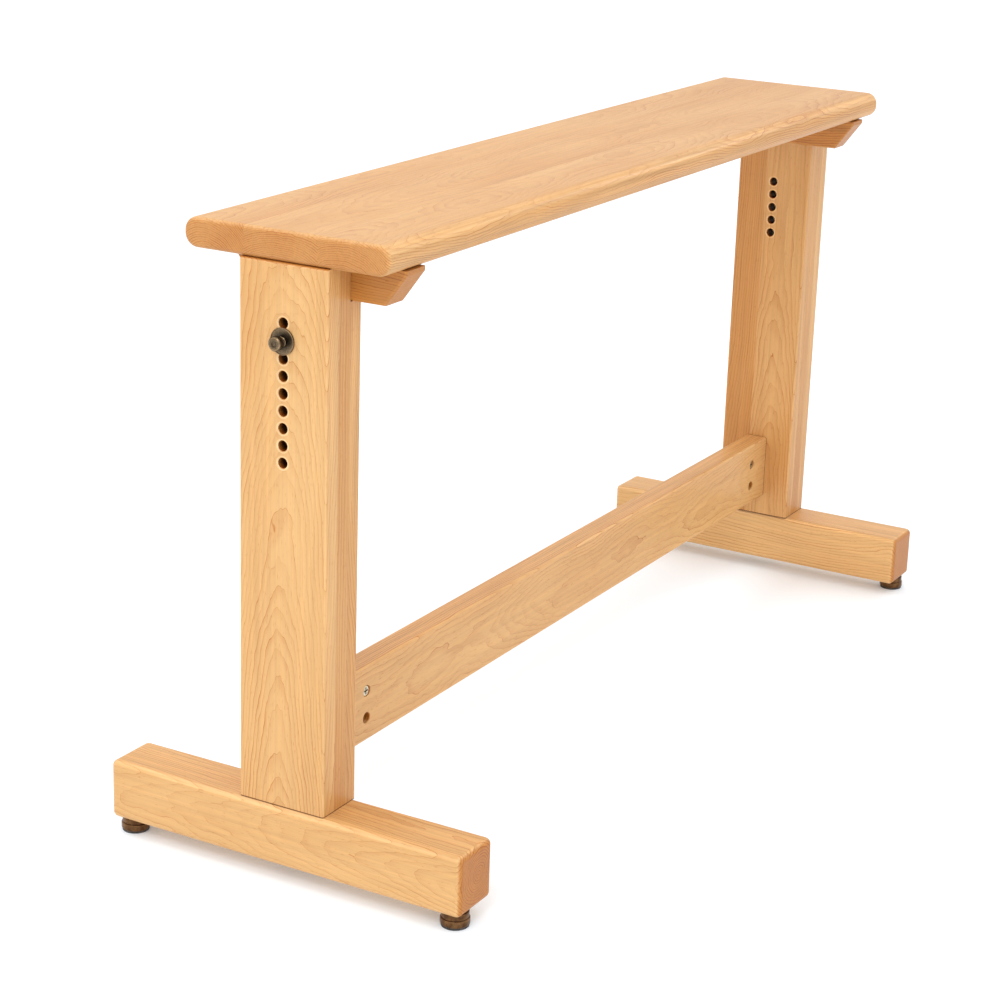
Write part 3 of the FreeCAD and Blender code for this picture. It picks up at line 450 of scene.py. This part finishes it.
def boards():
    """Every wooden node of the frame, with the lie of its grain."""
    made = []
    for side, sign in SIDES.items():
        near = side == "left"
        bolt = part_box(f"{side}_locking_bolt")
        bolted = (bolt[0].z + bolt[1].z) / 2
        outer_row = [bolted + step * HOLE_PITCH for step in OUTER_ROW]
        inner_row = [bolted + step * HOLE_PITCH for step in INNER_ROW]
        if near:
            outer = [Stave(END, 0.002, 0.042, -0.09, 0.14, 0.0)]
            inner = [Stave(END, 0.012, -0.058, 0.11, 0.45, 3.0)]
            foot = [Stave(END, 0.004, 0.020, -0.065, 0.16, 5.2)]
        else:
            outer = [Stave(END, 0.010, -0.060, -0.12, 0.2, 7.0)]
            inner = [
                Stave(0.010, -0.018, 0.028, -0.05, 0.45, 9.4),
                Stave(END, 0.075, 0.03, 0.05, 0.85, 11.3),
            ]
            foot = [Stave(END, 0.075, 0.060, 0.02, 0.06, 13.1)]
        made += [
            Board(f"{side}_outer_board", "z", "x", outer, bores=outer_row, butts=(-1,),
                  glued=(-sign,)),
            Board(f"{side}_inner_board", "z", "x", inner, bores=inner_row, butts=(-1,),
                  glued=(sign,)),
            Board(f"{side}_foot", "y", "x", foot),
        ]
        for place, turn in (("front", -1), ("back", 1)):
            strip = [Stave(END, 0.06, 0.02 * turn, 0.01, 0.56, 15.5 + turn + sign)]
            made.append(Board(f"{side}_{place}_strip", "z", "y", strip, ring=4.2 * MM, butts=(-1,)))
        cleat = [Stave(END, 0.004, 0.05, 0.05 * sign, 1.0, 21.0 + sign)]
        tongue = [Stave(END, 0.06, 0.02, 0.02, 0.6, 25.0 + sign)]
        filler = [Stave(END, 0.01, 0.05, 0.04, 0.7, 29.0 + sign)]
        dowel = [Stave(END, 0.02, 0.02, 0.0, 0.3, 33.0 + sign)]
        made += [
            Board(f"{side}_cleat", "y", "z", cleat, end_stain=0.3),
            Board(f"{side}_tongue", "z", "x", tongue),
            Board(f"{side}_filler_block", "z", "x", filler, eased=False),
            Board(f"{side}_dowels", "z", "x", dowel, eased=False),
        ]
    seat = [
        Stave(-0.035, -0.060, -0.060, 0.030, 0.38, 37.0),
        Stave(0.043, 0.006, -0.045, -0.022, 0.47, 41.0),
        Stave(END, 0.082, -0.052, 0.026, 0.42, 44.0),
    ]
    made.append(Board("seat", "x", "z", seat, ring=2.0 * MM, figure=0.06, end_stain=0.55))
    rail = [Stave(END, -0.004, 0.046, 0.030, 0.24, 47.0)]
    made.append(Board("stretcher", "x", "y", rail, ring=2.2 * MM, butts=(-1, 1)))
    return made


# ------------------------------------------------------------------------------------- metal and plastic

PATINA_ROUGHNESS = 0.22
WEAR_POLISH = 0.10


def worn_metal(name, dark, light, bare, metallic, seed, gloss, wear_reach):
    """Finished metal: cloudy patina, fine grit, and bare metal where the mesh says that it is worn; on
    thread crests that paler metal is partly painted glints.
    gloss is the roughness in the middle of the patina, and wear_reach is how bare the worn places are."""
    recipe = Recipe(name)
    patina = recipe.even_noise(170, seed, detail=4.0, roughness=0.6)
    grit = recipe.even_noise(1900, seed + 3)
    colour = recipe.mix(recipe.smooth(patina, 0.32, 0.70), dark, light)
    worn = recipe.node("Attribute", {}, 2, attribute_name="wear")
    scuffs = recipe.even_noise(700, seed + 6, detail=3.0, roughness=0.65)
    amount = recipe.times(recipe.plus(worn, recipe.swing(scuffs, 0.9)), worn)
    amount = recipe.smooth(amount, 0.15, 0.95)
    colour = recipe.mix(recipe.times(amount, wear_reach), colour, bare)
    roughness = recipe.linear(patina, PATINA_ROUGHNESS, gloss - WEAR_POLISH)
    roughness = recipe.linear(amount, -WEAR_POLISH, roughness)
    recipe.set(Base_Color=colour, Roughness=roughness, Metallic=metallic)
    recipe.bump(grit, 0.03 * MM, 0.35)
    return recipe.material


def plastic(name, seed):
    """Moulded nylon: near black, with a fine spark-eroded grain and dusty scuffs."""
    recipe = Recipe(name)
    grain = recipe.even_noise(2300, seed)
    dust = recipe.even_noise(260, seed + 4, detail=3.0)
    colour = recipe.mix(recipe.smooth(dust, 0.40, 0.78), srgb(44, 38, 34), srgb(84, 76, 68))
    recipe.set(Base_Color=colour, Roughness=recipe.linear(grain, 0.2, 0.5))
    recipe.bump(grain, 0.04 * MM, 0.5)
    return recipe.material


# Each metal: its dark patina, its light patina and its bare colour; then metallic, seed, gloss and
# wear_reach.
METALS = {
    "antique_bronze": ((38, 32, 26), (64, 54, 43), (178, 148, 112), 0.95, 11.0, 0.36, 0.75),
    "glide_bronze": ((84, 56, 34), (122, 88, 56), (184, 142, 96), 0.9, 17.0, 0.32, 0.55),
    "zinc_steel": ((180, 170, 146), (218, 208, 182), (238, 232, 214), 1.0, 23.0, 0.30, 0.55),
    "dark_steel": ((30, 24, 18), (54, 43, 32), (120, 104, 84), 0.9, 29.0, 0.42, 0.55),
    "brass": ((176, 138, 70), (214, 176, 98), (240, 214, 150), 1.0, 31.0, 0.28, 0.55),
}


def hard_finishes():
    """The metals and the pads' plastic, by name."""
    made = {"pad_plastic": plastic("pad_plastic", 37.0)}
    for name, (dark, light, bare, *numbers) in METALS.items():
        made[name] = worn_metal(name, srgb(*dark), srgb(*light), srgb(*bare), *numbers)
    return made


# --------------------------------------------------------------------------------------- turned pieces

# A place on a turned piece: how far along its axis, its radius, how deep the thread is cut there, and how
# far the finish is worn, 0 to 1. Millimetres.
Station = namedtuple("Station", "reach radius thread wear", defaults=(0.0, 0.0))
PER_THREAD = 8
THREAD_CREST = 0.16
# How much paler the thread crests are: partly wear, partly painted glints.
CREST_WEAR_AND_GLINT = 0.9
SHARP_EDGE = math.radians(35)


def filled_stations(stations, pitch):
    """The stations, with more between any two that carry a thread, so that its flanks are drawn."""
    filled = [stations[0]]
    for start, stop in zip(stations, stations[1:]):
        length = abs(stop.reach - start.reach)
        threaded = min(start.thread, stop.thread) > 0
        count = max(1, round(length / pitch * PER_THREAD)) if threaded else 1
        for i in range(1, count + 1):
            filled.append(Station(*(a + (b - a) * i / count for a, b in zip(start, stop))))
    return filled


def thread_height(turns):
    """A trapezoidal thread, from 0 at its root to 1 at its crest, as a function of turns."""
    slope = abs(2 * (turns % 1) - 1)
    return min(1.0, max(0.0, (slope - THREAD_CREST) / (1 - 2 * THREAD_CREST)))


def turned(name, stations, foot, direction, material, pitch):
    """A closed turned solid about the line from foot, a place in metres, along direction. The pitch of
    its thread is in millimetres, like the stations."""
    lift = Vector(direction).normalized()
    side = lift.orthogonal().normalized()
    other = lift.cross(side)
    vertices, wear = [], []
    rows = filled_stations(stations, pitch)
    for station in rows:
        for i in range(AROUND):
            angle = 2 * math.pi * i / AROUND
            height = thread_height(station.reach / pitch - i / AROUND)
            radius = station.radius - station.thread * (1 - height)
            spoke = side * math.cos(angle) + other * math.sin(angle)
            vertices.append(foot + (lift * station.reach + spoke * radius) * MM)
            # Thread crests are paler, partly as wear and partly as painted glints.
            wear.append(station.wear + (CREST_WEAR_AND_GLINT * height if station.thread else 0.0))
    faces = []
    for row in range(len(rows) - 1):
        start = row * AROUND
        for i in range(AROUND):
            j = (i + 1) % AROUND
            faces.append((start + i, start + j, start + AROUND + j, start + AROUND + i))
    faces.append(tuple(reversed(range(AROUND))))
    faces.append(tuple(range((len(rows) - 1) * AROUND, len(rows) * AROUND)))
    return mesh_piece(name, vertices, faces, material, {"wear": wear})


def mesh_piece(name, vertices, faces, material, attributes=None):
    """A new object of one mesh, with numbers on its points where attributes names them."""
    mesh = bpy.data.meshes.new(name)
    mesh.from_pydata(vertices, [], faces)
    work = bmesh.new()
    work.from_mesh(mesh)
    bmesh.ops.recalc_face_normals(work, faces=work.faces)
    work.to_mesh(mesh)
    work.free()
    for label, values in (attributes or {}).items():
        layer = mesh.attributes.new(label, "FLOAT", "POINT")
        layer.data.foreach_set("value", values)
    mesh.shade_smooth()
    mesh.set_sharp_from_angle(angle=SHARP_EDGE)
    mesh.materials.append(material)
    piece = bpy.data.objects.new(name, mesh)
    bpy.context.scene.collection.objects.link(piece)
    return piece


def stand_in(piece, node):
    """The piece replaces a CAD node and rides on its body."""
    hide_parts(node)
    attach(piece, node_body[node])


def rounded(reach, radius, ease, end, wear=0.5):
    """Stations round a rim at this reach and radius, eased by a quarter circle. end is -1 for the rim
    where the turning begins and 1 for the rim where it ends."""
    made = []
    for i in range(EASE_STEPS + 1):
        angle = math.pi / 2 * i / EASE_STEPS
        inward = ease * (1 - math.cos(angle))
        made.append(Station(reach - end * ease * (1 - math.sin(angle)), radius - inward, 0.0, wear))
    return made if end > 0 else made[::-1]


# The locking bolt, in millimetres: its head's length, its shank's radius, and its thread.
HEAD_LENGTH = 6.0
SHANK = 4.75
THREAD_DEPTH = 0.95
THREAD_PITCH = 2.5


def locking_bolt(side, sign, finish):
    """The bolt's shank is threaded from its tip to its head, and its head is a plain turned knob."""
    node = f"{side}_locking_bolt"
    low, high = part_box(node)
    middle = (low + high) / 2
    length = (high.x - low.x) / MM
    head_radius = (high.z - low.z) / 2 / MM
    shoulder = length - HEAD_LENGTH
    root = SHANK - THREAD_DEPTH
    stations = [
        Station(0.0, SHANK - 1.3, 0.0, 0.3),
        Station(0.9, SHANK - 0.5, 0.0, 0.3),
        Station(1.0, SHANK - 0.2, 0.2, 0.1),
        Station(2.0, SHANK, THREAD_DEPTH, 0.1),
        Station(shoulder - 1.0, SHANK, THREAD_DEPTH, 0.1),
        Station(shoulder - 0.9, root),
        Station(shoulder, root),
        Station(shoulder, head_radius - 0.5, 0.0, 0.2),
        *rounded(shoulder, head_radius, 0.5, -1)[1:],
        Station(length - 1.2, head_radius, 0.0, 0.5),
        Station(length - 0.15, head_radius - 1.25, 0.0, 0.9),
        Station(length, head_radius - 1.6, 0.0, 0.75),
        Station(length, head_radius * 0.45, 0.0, 0.68),
        Station(length - 0.25, head_radius * 0.38, 0.0, 0.6),
        Station(length - 0.25, 0.4, 0.0, 0.7),
    ]
    tip = Vector((low.x if sign > 0 else high.x, middle.y, middle.z))
    piece = turned(f"{side}_threaded_bolt", stations, tip, (sign, 0, 0), finish, THREAD_PITCH)
    stand_in(piece, node)


# The washer, in millimetres: its bore's radius, and how far its outer and inner rims are rolled over.
WASHER_BORE = 5.0
WASHER_RIM, WASHER_BORE_RIM = 0.7, 0.35


def washer(side, sign, finish):
    """A wide flat washer with rolled rims. It is open in the middle, so it is a ring and not a turned
    bar."""
    node = f"{side}_washer"
    low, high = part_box(node)
    middle = (low + high) / 2
    outer = (high.z - low.z) / 2 / MM
    thick = (high.x - low.x) / MM
    profile = []
    rims = {1: (outer, WASHER_RIM, 0.8), -1: (WASHER_BORE, WASHER_BORE_RIM, 0.5)}
    for top, outward in ((-1, 1), (1, 1), (1, -1), (-1, -1)):
        reach = thick if top > 0 else 0.0
        radius, ease, worn = rims[outward]
        for step in range(EASE_STEPS + 1):
            angle = math.pi / 2 * step / EASE_STEPS
            if outward == top:
                angle = math.pi / 2 - angle
            spot = reach - top * ease * (1 - math.sin(angle))
            profile.append((spot, radius - outward * ease * (1 - math.cos(angle)), worn))
    base = Vector((high.x if sign < 0 else low.x, middle.y, middle.z))
    vertices, wear, faces = [], [], []
    count = len(profile)
    for i in range(AROUND):
        angle = 2 * math.pi * i / AROUND
        for reach, radius, worn in profile:
            spoke = Vector((0, math.cos(angle), math.sin(angle))) * radius
            vertices.append(base + (Vector((sign * reach, 0, 0)) + spoke) * MM)
            wear.append(worn)
    for i in range(AROUND):
        j = (i + 1) % AROUND
        for k in range(count):
            m = (k + 1) % count
            faces.append((i * count + k, j * count + k, j * count + m, i * count + m))
    piece = mesh_piece(f"{side}_rolled_washer", vertices, faces, finish, {"wear": wear})
    stand_in(piece, node)


# The glide, in millimetres: the top of its disc, its collar's radius and top, its stem's radius and the
# depth of its thread.
DISC_TOP = 6.5
COLLAR, COLLAR_TOP = 13.0, 12.7
STEM, STEM_THREAD = 4.0, 0.5
FINE_PITCH = 1.25


def leveller(name, finish, pad_finish):
    """A screw-in glide: a threaded stem, a collar and a disc, with a nylon pad pressed under it."""
    node, pad_node = f"{name}_leveller", f"{name}_pad"
    low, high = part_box(node)
    foot = Vector(((low.x + high.x) / 2, (low.y + high.y) / 2, low.z))
    top = (high.z - low.z) / MM
    disc = (high.x - low.x) / 2 / MM
    stations = [
        Station(0.0, disc - 1.4),
        *rounded(0.0, disc, 0.7, -1, 0.35),
        *rounded(DISC_TOP, disc, 1.0, 1, 0.55),
        Station(DISC_TOP, COLLAR - 0.4),
        Station(DISC_TOP + 0.2, COLLAR - 0.4),
        Station(DISC_TOP + 0.5, COLLAR),
        *rounded(COLLAR_TOP, COLLAR, 0.5, 1, 0.4),
        Station(COLLAR_TOP, STEM - STEM_THREAD),
        Station(COLLAR_TOP + 0.4, STEM - STEM_THREAD),
        Station(COLLAR_TOP + 0.5, STEM, STEM_THREAD),
        Station(top - 1.0, STEM, STEM_THREAD),
        Station(top, STEM - 1.0),
    ]
    piece = turned(f"{name}_threaded_glide", stations, foot, (0, 0, 1), finish, FINE_PITCH)
    stand_in(piece, node)

    low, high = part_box(pad_node)
    base = Vector(((low.x + high.x) / 2, (low.y + high.y) / 2, low.z))
    radius, height = (high.x - low.x) / 2 / MM, (high.z - low.z) / MM
    pad_stations = [
        Station(0.35, 2.0),
        Station(0.35, radius * 0.45),
        Station(0.0, radius * 0.50),
        *rounded(0.0, radius, 0.6, -1, 0.0),
        *rounded(height, radius, 0.3, 1, 0.0),
        Station(height, 2.0),
    ]
    pad = turned(f"{name}_moulded_pad", pad_stations, base, (0, 0, 1), pad_finish, FINE_PITCH)
    stand_in(pad, pad_node)


# ------------------------------------------------------------------------------------------ the studio

FLOOR_HALF = 14.0
FLOOR_COLOURS = (0.88, 0.92, 0.96, 1.0), (0.90, 0.94, 0.98, 1.0)
FLOOR_GLOW = (0.80, 0.92, 1.0, 1.0)

# How strong the light from all round is at the horizon and straight above.
HORIZON, ZENITH = 0.96, 1.26

# Each lamp: its place, its width and its power.
LAMPS = {
    "key": (Vector((-2.6, -0.6, 2.4)), 1.6, 24.0),
    "rim": (Vector((2.6, -1.0, 1.75)), 0.6, 5.0),
    "top": (Vector((-0.9, 1.3, 2.5)), 1.0, 7.0),
}
LAMP_AIM = Vector((0, 0, 0.3))

# The camera: its turn about the bench, its height over the level and its roll in degrees, the place it
# looks at, its distance from there, and its focal length and sensor in millimetres.
AZIMUTH, ELEVATION, ROLL = -60.8, 18.0, 1.88
CAMERA_AIM = Vector((-0.061, 0.056, 0.233))
CAMERA_DISTANCE = 2.68
FOCAL_LENGTH, SENSOR = 88.4, 36.0


def white_floor():
    """A wide seamless floor with a trace of paper grain. Its blue albedo and faint glow take back the
    warm light that the wood throws on it."""
    recipe = Recipe("studio_floor")
    colour = recipe.mix(recipe.even_noise(3, 2.0), *FLOOR_COLOURS)
    recipe.set(Base_Color=colour, Roughness=0.9, Specular_IOR_Level=0.1)
    recipe.set(Emission_Color=FLOOR_GLOW, Emission_Strength=0.12)
    corners = [Vector((x, y, 0)) * FLOOR_HALF for x, y in ((-1, -1), (1, -1), (1, 1), (-1, 1))]
    mesh_piece("studio_floor", corners, [(0, 1, 2, 3)], recipe.material)


def studio_light():
    """Light from all round, stronger from above, and three soft lamps: the key high at the left end, a
    small one at the right end, and one above and behind the seat."""
    world = bpy.data.worlds.new("studio")
    bpy.context.scene.world = world
    world.use_nodes = True
    nodes, links = world.node_tree.nodes, world.node_tree.links
    background = next(n for n in nodes if n.type == "BACKGROUND")
    background.inputs["Color"].default_value = (1.0, 1.0, 1.0, 1.0)
    height = nodes.new("ShaderNodeSeparateXYZ")
    links.new(nodes.new("ShaderNodeTexCoord").outputs["Generated"], height.inputs[0])
    lift = nodes.new("ShaderNodeMapRange")
    lift.inputs["To Min"].default_value = HORIZON
    lift.inputs["To Max"].default_value = ZENITH
    links.new(height.outputs["Z"], lift.inputs["Value"])
    links.new(lift.outputs[0], background.inputs["Strength"])
    for name, (place, size, power) in LAMPS.items():
        data = bpy.data.lights.new(name, "AREA")
        data.shape = "DISK"
        data.size = size
        data.energy = power
        lamp = bpy.data.objects.new(name, data)
        lamp.location = place
        lamp.rotation_euler = (LAMP_AIM - place).to_track_quat("-Z", "Y").to_euler()
        bpy.context.scene.collection.objects.link(lamp)


def camera():
    """The photograph's view: from the left and in front, above the seat, held a little off level."""
    azimuth, elevation, roll = (math.radians(a) for a in (AZIMUTH, ELEVATION, ROLL))
    reach = math.cos(elevation)
    forward = Vector((-math.sin(azimuth) * reach, math.cos(azimuth) * reach, -math.sin(elevation)))
    level = forward.cross(Vector((0, 0, 1))).normalized()
    upright = level.cross(forward)
    right = level * math.cos(roll) + upright * math.sin(roll)
    up = upright * math.cos(roll) - level * math.sin(roll)
    data = bpy.data.cameras.new("photo_view")
    data.lens = FOCAL_LENGTH
    data.sensor_width = SENSOR
    eye = bpy.data.objects.new("photo_view", data)
    eye.matrix_world = Matrix((right, up, -forward)).transposed().to_4x4()
    eye.matrix_world.translation = CAMERA_AIM - forward * CAMERA_DISTANCE
    bpy.context.scene.collection.objects.link(eye)
    bpy.context.scene.camera = eye


def dress(node, material):
    """Gives a CAD node its finish."""
    node.data.materials.clear()
    node.data.materials.append(material)


# The metal of the nodes that each end has its own of, and of the nodes that both ends share.
END_METAL = {
    "post_bolts": "zinc_steel",
    "cleat_screws": "zinc_steel",
    "tongue_screws": "zinc_steel",
    "tongue_inserts": "brass",
}
SHARED_METAL = {
    "stretcher_studs": "zinc_steel",
    "upper_cams": "zinc_steel",
    "lower_cams": "dark_steel",
    "leveller_sleeves": "zinc_steel",
}

bodies = frame["record"]["behaviour"]["bodies"]
node_body = {node: body for body, members in bodies.items() for node in members}
finishes = hard_finishes()
for board in boards():
    dress(frame["nodes"][board.node], board.material())
for side, sign in SIDES.items():
    for kind, finish_name in END_METAL.items():
        dress(frame["nodes"][f"{side}_{kind}"], finishes[finish_name])
    locking_bolt(side, sign, finishes["antique_bronze"])
    washer(side, sign, finishes["antique_bronze"])
    for place in ("front", "back"):
        leveller(f"{side}_{place}", finishes["glide_bronze"], finishes["pad_plastic"])
for name, finish_name in SHARED_METAL.items():
    dress(frame["nodes"][name], finishes[finish_name])

white_floor()
studio_light()
camera()
bpy.context.scene.view_settings.view_transform = "Standard"
